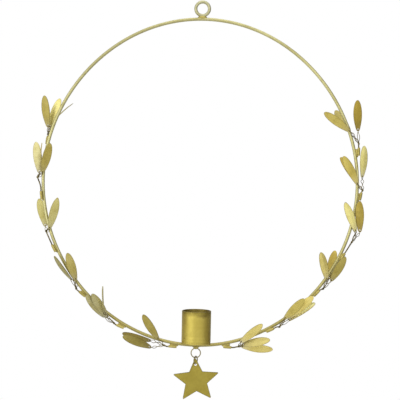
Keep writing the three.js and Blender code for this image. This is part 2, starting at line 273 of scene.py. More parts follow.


# a silvery base, painted shade along the rim, a dark spot and a darker inside of painted shade, where a
# piece has them
def markedColour(tree, values, place, colour):
    if 'base' in values:
        atBase = spread(tree, readMark(tree, 'along'), *finishMarks['baseBand'], 0, values['baseShare'])
        colour = mixColours(tree, atBase, colour, values['base'])
    # the rim is painted darker: painted shade along the edges
    if 'edgeShade' in values:
        ragged = push(tree, addNoise(tree, place, finishMarks['rimScale'], 2), finishMarks['rimPush'])
        nearRim = addUp(tree, readMark(tree, 'rim'), ragged)
        atRim = spread(tree, nearRim, values['edgeShadeFrom'], 1.0, 0, values['edgeShadeShare'])
        colour = mixColours(tree, atRim, colour, values['edgeShade'])
    # a dark spot on the cup's upper right, ragged at its border
    if 'darkSpot' in values:
        apart = addNode(tree, 'VectorMath', {0: place, 1: values['darkSpotPlace']}, operation='SUBTRACT')
        apart = addNode(tree, 'VectorMath', {0: apart.outputs[0], 1: values['darkSpotSize']},
                        operation='DIVIDE')
        away = addNode(tree, 'VectorMath', {0: apart.outputs[0]}, operation='LENGTH').outputs['Value']
        ragged = push(tree, addNoise(tree, place, finishMarks['darkSpotScale']), finishMarks['darkSpotPush'])
        inSpot = spread(tree, addUp(tree, away, ragged), *finishMarks['darkSpotBand'],
                         0, values['darkSpotShare'])
        colour = mixColours(tree, inSpot, colour, values['darkSpot'])
    # the inside is painted darker: painted shade in the cup's hollow
    if 'inside' in values:
        colour = mixColours(tree, readMark(tree, 'inside'), colour, values['inside'])
    return colour


# painted shade on one side: the hoop's left above its middle and the cup's right are painted darker.
# The hoop is browner near the cup, and the cup near its mouth
def sideShadedColour(tree, values, place, colour):
    parts = addNode(tree, 'SeparateXYZ', {'Vector': place})
    if values.get('sideShadeShare'):
        share = spread(tree, parts.outputs['X'], *values['sideShadeSpan'], 0, values['sideShadeShare'])
        if 'sideShadeAbove' in values:
            above = spread(tree, parts.outputs['Z'], *values['sideShadeAbove'])
            share = addNode(tree, 'Math', {0: share, 1: above}, operation='MULTIPLY').outputs[0]
        colour = mixColours(tree, share, colour, values['sideShade'])
    if values.get('brownShare'):
        share = spread(tree, parts.outputs['Z'], *values['brownSpan'], 0, values['brownShare'])
        colour = mixColours(tree, share, colour, values['brown'])
    return colour


# each leaf is painted lighter or darker by its own factor: painted light and shade on copies of one finish
def paintShading(tree, colour):
    paintedShading = addNode(tree, 'CombineXYZ', {axis: readMark(tree, 'paintedShading') for axis in 'XYZ'})
    return addNode(tree, 'Mix', {0: 1.0, 6: colour, 7: paintedShading.outputs[0]}, data_type='RGBA',
                   blend_type='MULTIPLY').outputs[2]


# fine grain, shallow dents and turned rings that catch the light
def addRelief(tree, values, place, rings, shader):
    rougher, roughest = [values['roughness'] + change for change in finishMarks['wear']]
    worn = addNoise(tree, place, values['grainScale'] / 3)
    tree.links.new(spread(tree, worn, *finishMarks['noiseBand'], rougher, roughest),
                   shader.inputs['Roughness'])
    dents = addNoise(tree, place, values['dentScale'], 1)
    height = addUp(tree, addNoise(tree, place, values['grainScale'], 2),
                   spread(tree, dents, 0, 1, 0, values['dent']))
    if rings is not None:
        height = addUp(tree, height, rings)
    bump = addNode(tree, 'Bump', {'Height': height, 'Strength': values['grain'],
                                  'Distance': finishMarks['bumpDepth']})
    tree.links.new(bump.outputs[0], shader.inputs['Normal'])


def brassFinish(name, values):
    material = bpy.data.materials.new(name)
    material.use_nodes = True
    tree = material.node_tree
    shader = tree.nodes['Principled BSDF']
    shader.inputs['Metallic'].default_value = values['metallic']
    shader.inputs['Coat Weight'].default_value = values['lacquer']
    shader.inputs['Coat Roughness'].default_value = finishMarks['lacquerRoughness']
    coordinates = addNode(tree, 'TexCoord', {})
    place = coordinates.outputs['Object']
    rings = addNoise(tree, place, 1.0, 4, values['rings']) if 'rings' in values else None
    colour = patchedColour(tree, values, coordinates, rings)
    colour = markedColour(tree, values, place, colour)
    colour = sideShadedColour(tree, values, place, colour)
    if 'base' in values:  # only the leaves have a base
        colour = paintShading(tree, colour)
    tree.links.new(colour, shader.inputs['Base Color'])
    addRelief(tree, values, place, rings, shader)
    return material


# the hoop's side colour is painted shade: darker on its left above its middle
wireValues = {'light': (208, 202, 144), 'dark': (191, 184, 126), 'stain': (138, 127, 79), 'stainShare': 0.3,
              'sideShade': (144, 138, 95), 'sideShadeShare': 0.45, 'sideShadeSpan': (0.1, -0.1),
              'sideShadeAbove': (-0.12, -0.06), 'brown': (160, 146, 76), 'brownShare': 0.75,
              'brownSpan': (-0.18, -0.27), 'patchScale': 45, 'stainScale': 150, 'grainScale': 900,
              'grain': 0.15, 'dentScale': 200, 'dent': 1.5, 'roughness': 0.4, 'metallic': 0.92,
              'lacquer': 0.3}
plainWire = dict(wireValues, sideShadeShare=0, brownShare=0)
eyeValues = dict(plainWire, light=(196, 193, 152), dark=(179, 175, 133))
ringValues = dict(plainWire, light=(156, 145, 99), dark=(121, 110, 69), stainShare=0.2)
leafWireValues = dict(plainWire, light=(152, 139, 86), dark=(86, 74, 40), patchScale=300,
                      stain=(62, 52, 30), roughness=0.5, lacquer=0.1)
sleeveValues = dict(plainWire, light=(191, 177, 100), dark=(168, 153, 79), patchScale=150)
brazeValues = dict(plainWire, light=(184, 170, 96), dark=(154, 139, 72), patchScale=220,
                   roughness=0.45)
# the cup's side colour is painted shade: darker on its right
cupValues = {'light': (200, 183, 88), 'dark': (188, 169, 74), 'stain': (147, 123, 54), 'stainShare': 0.5,
             'sideShade': (120, 92, 34), 'sideShadeShare': 0.28, 'sideShadeSpan': (0.001, 0.012),
             'brown': (108, 93, 24), 'brownShare': 0.7, 'brownSpan': (-0.2684, -0.2646),
             'inside': (168, 150, 74), 'darkSpot': (104, 84, 32), 'darkSpotShare': 0.55,
             'darkSpotPlace': (0.006, -0.0105, -0.2675), 'darkSpotSize': (0.0058, 0.008, 0.002),
             'rings': (12, 12, 420), 'patchScale': 40, 'stainScale': 75, 'grainScale': 900, 'grain': 0.06,
             'dentScale': 90, 'dent': 1.0, 'roughness': 0.48, 'metallic': 0.95, 'lacquer': 0.3}
# the edge colour of the star and of the leaves below is painted shade along their rims
starValues = {'light': (173, 158, 69), 'dark': (162, 146, 60), 'stain': (145, 128, 56), 'stainShare': 0.3,
              'edgeShade': (88, 82, 44), 'edgeShadeShare': 1, 'edgeShadeFrom': 0.1, 'patchScale': 100, 'stainScale': 260,
              'grainScale': 900, 'grain': 0.12, 'dentScale': 150, 'dent': 1.5, 'roughness': 0.5,
              'metallic': 0.9, 'lacquer': 0.15}
leafValues = {'light': (226, 210, 128), 'dark': (212, 195, 110), 'stain': (180, 160, 84), 'stainShare': 0.3,
              'base': (206, 200, 172), 'baseShare': 0.4, 'edgeShade': (118, 106, 66), 'edgeShadeShare': 0.6,
              'edgeShadeFrom': 0.55, 'streaks': (14, 2, 1), 'patchScale': 90, 'stainScale': 180,
              'grainScale': 800, 'grain': 0.06, 'dentScale': 130, 'dent': 4, 'roughness': 0.44,
              'metallic': 0.92, 'lacquer': 0.3}
leafTones = {
    'gold': leafValues,
    'pale': dict(leafValues, light=(236, 228, 168), dark=(226, 215, 148), baseShare=0.5),
    'olive': dict(leafValues, light=(220, 210, 136), dark=(208, 197, 118)),
    'honey': dict(leafValues, light=(228, 209, 112), dark=(214, 194, 94), baseShare=0.3),
    'ochre': dict(leafValues, light=(226, 202, 98), dark=(212, 186, 80), baseShare=0.2),
    'bronze': dict(leafValues, light=(226, 197, 80), dark=(212, 181, 62), baseShare=0.15),
}
hoopMetal = brassFinish('hoopBrass', wireValues)
eyeMetal = brassFinish('eyeBrass', eyeValues)
ringMetal = brassFinish('ringWire', ringValues)
leafWireMetal = brassFinish('leafWire', leafWireValues)
sleeveMetal = brassFinish('sleeveBrass', sleeveValues)
brazeMetal = brassFinish('brazeMetal', brazeValues)
cupMetal = brassFinish('cupBrass', cupValues)
starMetal = brassFinish('starBrass', starValues)
leafMetals = {tone: brassFinish('leafBrass_' + tone, values) for tone, values in leafTones.items()}
print('finishes made')


hoop = {'width': 270.2, 'height': 280.4, 'squareness': 0.45, 'shift': 0.9, 'wire': 2.8,
        'centreZ': -153.7, 'jointAngle': 88.5, 'jointGap': 0.12, 'steps': 300, 'rounding': 5}
eye = {'radius': 5.86, 'wire': 2.76, 'jointAngle': 270, 'jointGap': 0.2, 'steps': 72, 'rounding': 5,
       'braze': (8, 3.4, 3), 'neck': (4.6, 3, 3), 'neckRise': 0.8, 'voxel': 0.15, 'softness': 5}


# distance of the hoop's middle line from its centre, at an angle from +X
def hoopRadiusAt(angle):
    stretch = (hoop['height'] - hoop['width']) / 4
    mean = (hoop['height'] + hoop['width']) / 4 - hoop['squareness']
    return mean - stretch * cos(2 * angle) + hoop['squareness'] * cos(4 * angle)


def hoopPoint(angle):
    radius = hoopRadiusAt(angle)
    return Vector((hoop['shift'] + radius * cos(angle), 0,
                   hoop['centreZ'] + radius * sin(angle))) * mm


# square to the wire, out of the hoop
def hoopOutward(angle):
    step = radians(1)
    along = (hoopPoint(angle + step) - hoopPoint(angle - step)).normalized()
    return Vector((along.z, 0, -along.x))


# points of a ring of wire with its butt joint at an angle
def ringLine(radius, centreZ, jointAngle, jointGap, steps, turn=0):
    around = Matrix.Rotation(radians(turn), 3, 'Z')
    start = radians(jointAngle) + jointGap / radius / 2
    end = start + 2 * pi - jointGap / radius
    line = []
    for i in range(steps + 1):
        angle = start + (end - start) * i / steps
        line.append((around @ Vector((radius * cos(angle), 0, radius * sin(angle)))
                     + Vector((0, 0, centreZ))) * mm)
    return line


# an egg-shaped drop of braze metal, still to be run together with others
def addDrop(size, place):
    deselectAll()
    bpy.ops.mesh.primitive_ico_sphere_add(subdivisions=4, radius=0.5, location=place)
    drop = bpy.context.object
    drop.scale = [length * mm for length in size]
    applyPlace(drop)
    return drop


# drops run together into one soft lump
def runTogether(drops, sizes):
    lump = joinPieces(drops)
    addModifier(lump, 'REMESH', mode='VOXEL', voxel_size=sizes['voxel'] * mm, use_smooth_shade=True)
    addModifier(lump, 'SMOOTH', factor=0.5, iterations=sizes['softness'])
    applyModifiers(lump)
    return lump


def bendHoop():
    start = radians(hoop['jointAngle'])
    end = start + 2 * pi - hoop['jointGap'] / hoopRadiusAt(start)
    steps = hoop['steps']
    line = [hoopPoint(start + (end - start) * i / steps) for i in range(steps + 1)]
    wire = layWire([line], hoop['wire'], hoop['rounding'])
    dress(wire, 'hoop_wire', hoopMetal, 'wreath', 'hoop_brass', 'hoop')


def bendEye():
    wireTop = hoopPoint(pi / 2).z / mm + hoop['wire'] / 2
    centreZ = wireTop + seatGap + eye['wire'] / 2 + eye['radius']
    line = ringLine(eye['radius'], centreZ, eye['jointAngle'], eye['jointGap'], eye['steps'])
    wire = layWire([line], eye['wire'], eye['rounding'])
    dress(wire, 'eye_wire', eyeMetal, 'wreath', 'eye_brass', 'hanging_eye')
    foot = addDrop(eye['braze'], (0, 0, wireTop * mm))
    neck = addDrop(eye['neck'], (0, 0, (wireTop + eye['neckRise']) * mm))
    dress(runTogether([foot, neck], eye), 'eye_braze', brazeMetal, 'wreath', 'eye_brass')


bendHoop()
bendEye()
print('hoop and eye made')


cup = {'innerRadius': 11.8, 'wall': 0.75, 'height': 26.6, 'baseThickness': 1.4, 'spigot': 0.5,
       'spigotPlay': 0.2, 'lip': 0.2, 'sides': 128, 'steps': (0.4, 0.6, 0.8, 1), 'grooves': (2.4, 5.3),
       'grooveWidth': 0.8, 'grooveDepth': 0.025, 'discInset': 0.1, 'foot': 0.7, 'discEdge': 0.1,
       'smoothAngle': 30, 'braze': (7.5, 3.8, 2.6), 'brazePlaces': (-6.5, 0.3, 6.2),
       'brazeDrop': 0.35, 'voxel': 0.2, 'softness': 5}
hoopTop = hoopPoint(-pi / 2).z / mm + hoop['wire'] / 2
baseZ = hoopTop + seatGap
tubeZ = baseZ + cup['baseThickness']
tubeRadius = cup['innerRadius'] + cup['wall']


# a circle drawn up in steps, with two faint grooves near its foot
def drawTube():
    heights = [(0, 0)]
    for groove in cup['grooves']:
        heights += [(groove - cup['grooveWidth'] / 2, 0), (groove, cup['grooveDepth']),
                    (groove + cup['grooveWidth'] / 2, 0)]
    heights += [(cup['height'] * share, 0) for share in cup['steps']]
    deselectAll()
    bpy.ops.mesh.primitive_circle_add(vertices=cup['sides'], radius=tubeRadius * mm,
                                      location=(0, 0, tubeZ * mm))
    tube = bpy.context.object
    editPoints(tube, lambda co: True)
    for (low, inLow), (high, inHigh) in zip(heights, heights[1:]):
        extrude((0, 0, (high - low) * mm))
        narrow = (tubeRadius - inHigh) / (tubeRadius - inLow)
        resize(narrow, narrow, 1)
    bpy.ops.mesh.select_all(action='SELECT')
    bpy.ops.mesh.normals_make_consistent(inside=False)
    endEdit()
    addModifier(tube, 'SOLIDIFY', thickness=cup['wall'] * mm, offset=-1)
    roundEdges(tube, cup['lip'], 3)
    applyModifiers(tube)
    applyPlace(tube)
    innerWall = (cup['innerRadius'] + cup['lip']) * mm
    # the inside mark carries painted shade: the cup's hollow is painted darker
    markPoints(tube, 'inside', lambda co: float(hypot(co.x, co.y) < innerWall))
    smoothByAngle(tube, cup['smoothAngle'])
    dress(tube, 'cup_tube', cupMetal, 'wreath', 'cup_brass', 'candle_cup')


# a disc with the low spigot that centres the tube
def turnFloor():
    deselectAll()
    bpy.ops.mesh.primitive_cylinder_add(
        vertices=cup['sides'], radius=(tubeRadius - cup['discInset']) * mm,
        depth=cup['baseThickness'] * mm, location=(0, 0, (baseZ + tubeZ) / 2 * mm))
    disc = bpy.context.object
    editFaces(disc, lambda face: face.normal.z < -flatwise)
    bpy.ops.mesh.bevel(offset=cup['foot'] * mm, segments=4, affect='EDGES')
    endEdit()
    editFaces(disc, lambda face: face.normal.z > flatwise)
    bpy.ops.mesh.inset(thickness=(cup['wall'] + cup['spigotPlay']) * mm)
    extrude((0, 0, cup['spigot'] * mm))
    endEdit()
    roundEdges(disc, cup['discEdge'])
    applyModifiers(disc)
    applyPlace(disc)
    spigotFoot = (tubeZ + cup['discEdge']) * mm
    # the floor's top inside the cup is painted darker too: painted shade
    markPoints(disc, 'inside', lambda co: float(co.z > spigotFoot))
    smoothByAngle(disc, cup['smoothAngle'])
    dress(disc, 'cup_floor', cupMetal, 'wreath', 'cup_brass', 'cup_base')


# braze along the wire under the floor
def brazeCup():
    drops = [addDrop(cup['braze'], (x * mm, 0, (hoopTop - cup['brazeDrop']) * mm))
             for x in cup['brazePlaces']]
    dress(runTogether(drops, cup), 'cup_braze', brazeMetal, 'wreath', 'cup_brass')


drawTube()
turnFloor()
brazeCup()
print('cup made')


pendant = {'ringRadius': 4.05, 'ringWire': 0.9, 'ringDrop': 0.75, 'ringJoint': 90, 'ringGap': 0.2,
           'ringSteps': 72, 'rounding': 4, 'solder': (4.4, 2.2), 'solderRise': 0.6,
           'cap': (6.4, 2.9, 1.8), 'capRise': 0.1, 'voxel': 0.12, 'softness': 5,
           'linkWire': 0.9, 'linkTurn': 64, 'linkJoint': 40, 'linkGap': 0.35, 'linkSteps': 64,
           'starRadius': 20.1, 'innerRadius': 9.8, 'flatness': 0.94, 'starTurn': -3.4,
           'thickness': 0.8, 'tipRounding': 0.8, 'holeRadius': 1.15, 'holeSides': 36, 'holeEdge': 0.3,
           'tipLength': 5.2, 'tipGap': 0.25, 'rimWidth': 0.45, 'edgeRound': 0.12, 'drillLength': 4,
           'flatPlay': 0.01, 'smoothAngle': 30}
wireUnder = hoopPoint(-pi / 2).z / mm - hoop['wire'] / 2
ringZ = wireUnder - pendant['ringDrop'] - pendant['ringWire'] / 2 - pendant['ringRadius']
linkRadius = (pendant['ringWire'] + pendant['linkWire'] + 2 * seatGap + pendant['tipGap']
              + pendant['tipLength'] - pendant['holeRadius']) / 2
linkTopZ = ringZ - pendant['ringRadius'] + (pendant['ringWire'] + pendant['linkWire']) / 2 + seatGap
linkZ = linkTopZ - linkRadius
holeZ = linkZ - linkRadius + pendant['linkWire'] / 2 + seatGap - pendant['holeRadius']
starZ = holeZ + pendant['tipLength'] - pendant['starRadius'] * pendant['flatness']


def bendRings():
    line = ringLine(pendant['ringRadius'], ringZ, pendant['ringJoint'], pendant['ringGap'],
                    pendant['ringSteps'])
    ring = layWire([line], pendant['ringWire'], pendant['rounding'])
    dress(ring, 'star_ring_wire', ringMetal, 'wreath', 'ring_wire', 'star_ring')
    line = ringLine(linkRadius, linkZ, pendant['linkJoint'], pendant['linkGap'],
                    pendant['linkSteps'], pendant['linkTurn'])
    link = layWire([line], pendant['linkWire'], pendant['rounding'])
    dress(link, 'link_wire', ringMetal, 'link', 'ring_wire', 'link_ring')
    # solder between the hoop and the star ring
    top = wireUnder + pendant['solderRise']
    bottom = ringZ + pendant['ringRadius'] - pendant['ringWire']
    drop = addDrop((*pendant['solder'], top - bottom), (0, 0, (top + bottom) / 2 * mm))
    cap = addDrop(pendant['cap'], (0, 0, (wireUnder + pendant['capRise']) * mm))
    dress(runTogether([drop, cap], pendant), 'star_ring_solder', brazeMetal, 'wreath', 'ring_wire')


# a disc of ten corners becomes the star: every second corner is drawn in and the tips are rounded
def cutStar():
    half = pi / 5  # from one corner to the next
    inner = pendant['innerRadius']
    rounding = pendant['tipRounding']
    sharp = pendant['starRadius']
    for _ in range(12):  # a rounded tip ends at the star's radius
        slope = atan2(inner * sin(half), sharp - inner * cos(half))
        cutBack = rounding / tan(slope)
        sharp = pendant['starRadius'] + (2 - sqrt(2)) * cutBack * cos(slope)
    deselectAll()
    bpy.ops.mesh.primitive_circle_add(vertices=10, radius=sharp * mm, fill_type='NGON', location=(0, 0, 0),
                                      rotation=(pi / 2, 0, 0))
    star = bpy.context.object
    applyPlace(star)
    top = max((point.co for point in star.data.vertices), key=lambda co: co.z).copy()
    editPoints(star, lambda co: round(top.angle(co) / half) % 2 == 1)
    ratio = inner / sharp
    resize(ratio, ratio, ratio)
    bpy.ops.mesh.select_all(action='INVERT')
    bpy.ops.mesh.bevel(offset=cutBack * mm, offset_type='OFFSET', segments=6, affect='VERTICES')
    endEdit()
    editFaces(star, lambda face: True)
    resize(1, 1, pendant['flatness'])
    bpy.ops.transform.translate(value=(0, -pendant['thickness'] / 2 * mm, starZ * mm))
    bpy.ops.mesh.inset(thickness=pendant['rimWidth'] * mm)
    bpy.ops.mesh.poke()
    endEdit()
    flat = [star.data.vertices[i].co.xz for face in star.data.polygons if face.select
            for i in face.vertices]
    addModifier(star, 'SOLIDIFY', thickness=pendant['thickness'] * mm, offset=-1)
    applyModifiers(star)
    editFaces(star, lambda face: True)
    bpy.ops.mesh.normals_make_consistent(inside=False)
    endEdit()

    deselectAll()
    bpy.ops.mesh.primitive_cylinder_add(
        vertices=pendant['holeSides'], radius=pendant['holeRadius'] * mm,
        depth=pendant['drillLength'] * mm, location=(0, 0, holeZ * mm), rotation=(pi / 2, 0, 0))
    drill = bpy.context.object
    addModifier(star, 'BOOLEAN', operation='DIFFERENCE', object=drill)
    roundEdges(star, pendant['edgeRound'], 2, 50)
    applyModifiers(star)
    bpy.data.objects.remove(drill)
    hole = Vector((0, holeZ)) * mm
    holeRim = (pendant['holeRadius'] + pendant['holeEdge']) * mm

    def rimAt(co):
        atFlat = any((co.xz - place).length < pendant['flatPlay'] * mm for place in flat)
        return 0.0 if atFlat or (co.xz - hole).length < holeRim else 1.0

    # the rim mark carries the painted shade along the star's edges; the hole's edge stays clear
    markPoints(star, 'rim', rimAt)
    smoothByAngle(star, pendant['smoothAngle'])
    # it hangs a little turned
    atHole = Matrix.Translation((0, 0, holeZ * mm))
    turn = Matrix.Rotation(radians(pendant['starTurn']), 4, 'Y')
    star.matrix_world = atHole @ turn @ atHole.inverted()
    dress(star, 'star_sheet', starMetal, 'star', 'star_brass', 'star_pendant')


bendRings()
cutStar()
print('rings and star made')


blade = {'length': 27.36, 'width': 7.34, 'baseWidth': 2.6, 'thickness': 0.5, 'crease': 0.28,
         'creaseSharpness': 1.2, 'bow': 0.8, 'heel': ((0, 0.55), (0.25, 0.82), (0.7, 1)),
         'widestAt': 0.56, 'tipAngle': 85, 'holeRadius': 0.62, 'holeSides': 20, 'holeInset': 1.6,
         'punchLength': 4, 'across': 8, 'taperSteps': 9, 'tipSteps': 10, 'edgeRound': 0.12,
         'rimWidth': 0.9, 'twist': 4, 'sheet': 30, 'sheetMiddle': (0.5, 0.06)}


# half widths along the leaf, from its base to its tip
def leafStations():
    half = blade['width'] / 2
    base = blade['baseWidth'] / 2
    widest = blade['length'] * blade['widestAt']
    stations = [(y, base * share) for y, share in blade['heel']]
    for i in range(1, blade['taperSteps']):
        t = i / blade['taperSteps']
        stations.append((widest * t, base + (half - base) * sin(pi / 2 * t)))
    last = radians(blade['tipAngle'])
    for i in range(blade['tipSteps'] + 1):
        angle = last * i / blade['tipSteps']
        stations.append((widest + (blade['length'] - widest) * sin(angle) / sin(last),
                         half * cos(angle)))
    return stations


def leafHalfAt(y, stations):
    for (low, lowHalf), (high, highHalf) in zip(stations, stations[1:]):
        if y <= high:
            return lowHalf + (highHalf - lowHalf) * max(0.0, y - low) / (high - low)
    return stations[-1][1]


# height of the pressed sheet: a low crease down the middle and a bow along the length
def leafRise(x, y, half):
    share = max(0.0, (2 * half - blade['baseWidth']) / (blade['width'] - blade['baseWidth']))
    ridge = blade['crease'] * share * max(0.0, 1 - abs(x) / half) ** blade['creaseSharpness']
    middle = 2 * y / blade['length'] - 1
    middleOfHole = 2 * blade['holeInset'] / blade['length'] - 1
    return ridge + blade['bow'] * (middleOfHole ** 2 - middle ** 2)


# a leaf with its length on +Y, its front on +Z and its hole at the origin
def pressLeaf():
    stations = leafStations()
    deselectAll()
    bpy.ops.mesh.primitive_grid_add(x_subdivisions=blade['across'], y_subdivisions=1, size=1)
    leaf = bpy.context.object
    (low, lowHalf), (high, highHalf) = stations[0], stations[1]
    editPoints(leaf, lambda co: True)
    resize(2 * highHalf, high - low, 1)
    bpy.ops.transform.translate(value=(0, (low + high) / 2, 0))
    editPoints(leaf, lambda co: co.y < (low + high) / 2)
    resize(lowHalf / highHalf, 1, 1)
    bpy.ops.mesh.select_all(action='INVERT')
    for (low, lowHalf), (high, highHalf) in zip(stations[1:], stations[2:]):
        extrude((0, high - low, 0))
        resize(highHalf / lowHalf, 1, 1, (0, high, 0))
    endEdit()
    for point in leaf.data.vertices:
        point.co.z = leafRise(point.co.x, point.co.y, leafHalfAt(point.co.y, stations))
    leaf.scale = (mm, mm, mm)
    leaf.location = (0, -blade['holeInset'] * mm, 0)
    applyPlace(leaf)
    addModifier(leaf, 'SOLIDIFY', thickness=blade['thickness'] * mm, offset=0)
    deselectAll()
    bpy.ops.mesh.primitive_cylinder_add(vertices=blade['holeSides'], radius=blade['holeRadius'] * mm,
                                        depth=blade['punchLength'] * mm)
    punch = bpy.context.object
    addModifier(leaf, 'BOOLEAN', operation='DIFFERENCE', object=punch)
    roundEdges(leaf, blade['edgeRound'], 2, 55)
    applyModifiers(leaf)
    bpy.data.objects.remove(punch)
    markLeaf(leaf, stations)
    smoothByAngle(leaf, 40)
    return leaf


# where each point lies on the leaf, for the painted shade along its rim, its silvery base and its streaks
def markLeaf(leaf, stations):
    def fromBase(co):
        return co.y / mm + blade['holeInset']

    def rimAt(co):
        y = fromBase(co)
        inward = min(leafHalfAt(y, stations) - abs(co.x) / mm, blade['length'] - y)
        return min(1.0, max(0.0, 1 - inward / blade['rimWidth']))

    markPoints(leaf, 'rim', rimAt)
    markPoints(leaf, 'along', lambda co: fromBase(co) / blade['length'])
    flat = leaf.data.uv_layers.active or leaf.data.uv_layers.new(name='flat')
    sheet = blade['sheet'] * mm
    across, up = blade['sheetMiddle']
    for corner in leaf.data.loops:
        place = leaf.data.vertices[corner.vertex_index].co
        flat.data[corner.index].uv = (place.x / sheet + across, place.y / sheet + up)


stem = {'wire': 0.5, 'rounding': 1, 'slack': 0.1, 'strands': 3, 'strandRadius': 0.4,
        'twistPitch': 4.4, 'bundleSteps': 16, 'kinkAt': 0.45, 'pairPitch': 14, 'pairSpread': 0.34,
        'pairLoop': (0.2, 0.85), 'pairSteps': 28, 'closing': 2.2, 'closingBend': 0.8, 'loopSteps': 12,
        'wander': 0.5, 'wrapRadius': 0.7, 'wrapPitch': 0.6, 'wrapTurns': 2.5, 'wrapSteps': 40,
        'sleeveRadius': 1.22, 'sleeveLength': 7, 'sleeveSides': 32, 'sleeveWall': 0.3,
        'sleeveMouth': 0.4, 'sleeveEdge': 0.12, 'sleeveShape': (0.9, 1, 0.98, 1, 0.84),
        'mouthDepth': 0.9, 'brazeDrops': ((0.12, 1.7), (0.25, 2), (0.38, 2), (0.5, 1.7), (0.6, 1.3)),
        'brazeGrip': 1.5, 'brazeLength': 4.2, 'voxel': 0.15, 'softness': 6}
leafDepth = 0.55  # room that the part's source keeps for a leaf's thickness
# sprigs from the top of each side to its bottom, as in the part's source: place round the hoop, place of
# the sleeve round the wire, lean of the sleeve, knot (along the hoop, outwards, to the front) and leaves.
# Of each leaf: lean of the wire, its reach, lean of the leaf outwards, layer, nod, turn, tone and painted
# shading, a factor that paints the leaf lighter or darker for the light and shade it stands in
sprigRows = {
    'left': [
        {'at': 165.7, 'round': -60, 'lean': 11.6, 'knot': (5, 2.4, -2.2), 'leaves': [
            (12.6, 7.4, 21.6, 0, 2, 15, 'honey', 0.45), (1.6, 7.2, -3.4, -1, -10, 20, 'olive', 1.22),
            (-5.4, 12.6, -27.4, -2.6, -32, 78, 'olive', 1.0)]},
        {'at': 185.8, 'round': 60, 'lean': 3.1, 'knot': (15.8, 3.9, 1), 'leaves': [
            (-17.9, 5.3, -0.9, 0, 16, -10, 'pale', 1.08), (-48.9, 7, -21.9, 1.2, 16, -20, 'honey', 0.63),
            (-27.9, 6.4, -1.9, -1.3, -22, 82, 'ochre', 1.0)]},
        {'at': 205.4, 'round': 45, 'lean': 4.9, 'knot': (16.2, 2.9, 0), 'leaves': [
            (-10.1, 5.4, -6.1, -1, -25, -10, 'olive', 0.76), (-70.1, 4.8, -39.1, 1, 4, -15, 'olive', 0.8),
            (-59.1, 4.8, -36.1, -2, -12, 35, 'ochre', 1.0)]},
        {'at': 224.6, 'round': 40, 'lean': 10.1, 'knot': (6.8, 3.9, 0.5), 'leaves': [
            (-12, 9.6, -8.9, 0, 22, 54, 'olive', 0.67), (-39.9, 9, -27.9, 1.4, 26, -10, 'gold', 0.8),
            (-21.9, 9.5, -7.9, -1.7, -14, 84, 'ochre', 1.0)]},
        {'at': 242.1, 'round': 20, 'lean': 8.4, 'knot': (5.8, 3.7, 0.5), 'leaves': [
            (-4.6, 11, -22.6, 0.5, 24, -6, 'pale', 0.67), (-14.6, 8.9, -29.6, 1.4, 26, -12, 'pale', 0.65),
            (-25.6, 13.3, -57.6, 3.8, 28, 76, 'pale', 0.79)]},
        {'at': 261.6, 'round': 0, 'lean': 6, 'knot': (7.4, 3.6, 0.6), 'leaves': [
            (-41, 8.9, -50, 1.3, 21, 20, 'honey', 0.63), (-7, 13.7, 0, -0.5, -21, 30, 'ochre', 0.41),
            (15, 12.6, -14, 0.5, 19, -25, 'honey', 0.43)]},
    ],
    'right': [
        {'at': 12.1, 'round': 15, 'lean': 11.7, 'knot': (6.8, 4.9, 0.3), 'leaves': [
            (-29.3, 14.6, -43.3, 1.3, 2, 10, 'honey', 0.66),
            (-23.3, 13.8, -18.3, -1.4, -36, -20, 'gold', 0.72),
            (7.7, 12.4, 6.7, 0, 20, -15, 'bronze', 0.53)]},
        {'at': 356.1, 'round': 0, 'lean': 7.1, 'knot': (5.4, 4.6, 0), 'leaves': [
            (-45.9, 8.3, -31.9, 1.2, 1, 10, 'honey', 0.77), (-5.9, 12.7, -2.9, 0, 11, 25, 'olive', 1.23),
            (-41.9, 8.6, -34.9, -1, -12, 35, 'ochre', 1.0)]},
        {'at': 333.5, 'round': 40, 'lean': 4, 'knot': (14.9, 4, 0.5), 'leaves': [
            (-13, 10.9, -49, 1, 13, 15, 'olive', 1.3), (7, 12.2, -29, 0.4, 12, -10, 'ochre', 0.65),
            (-11, 10.5, -43, -1, -15, 30, 'olive', 1.0)]},
        {'at': 317.5, 'round': 65, 'lean': 4, 'knot': (6.5, 3.2, 1), 'leaves': [
            (-27, 9.8, -57, 2, 24, 20, 'gold', 1.14), (-11, 10.8, -25, -1, -24, -20, 'ochre', 0.55),
            (1, 10.8, -16, 1, 28, 10, 'honey', 0.65)]},
        {'at': 296.4, 'round': 60, 'lean': 6.4, 'knot': (8.4, 3.1, 1), 'leaves': [
            (-32.6, 9.7, -22.6, 2, 28, 10, 'honey', 0.87), (-17.6, 13.4, -13.6, 1, 4, -10, 'gold', 1.07),
            (-5.6, 11.2, -6.6, -0.3, 5, -54, 'pale', 1.3)]},
        {'at': 280.5, 'round': 0, 'lean': 15.2, 'knot': (9.5, 5, 0), 'leaves': [
            (-51.8, 5.5, -32.8, 1, 25, 15, 'gold', 1.15), (-8.8, 4.2, -4.8, 0, 27, -25, 'gold', 0.67),
            (20.2, 4.4, 17.2, -1, -6, 15, 'gold', 1.11)]},
    ],
}
loopDepth = leafDepth / 2 + stem['slack'] + seatGap + stem['wire'] / 2
layerDepth = hoop['wire'] / 2 + seatGap + loopDepth + stem['wire'] / 2


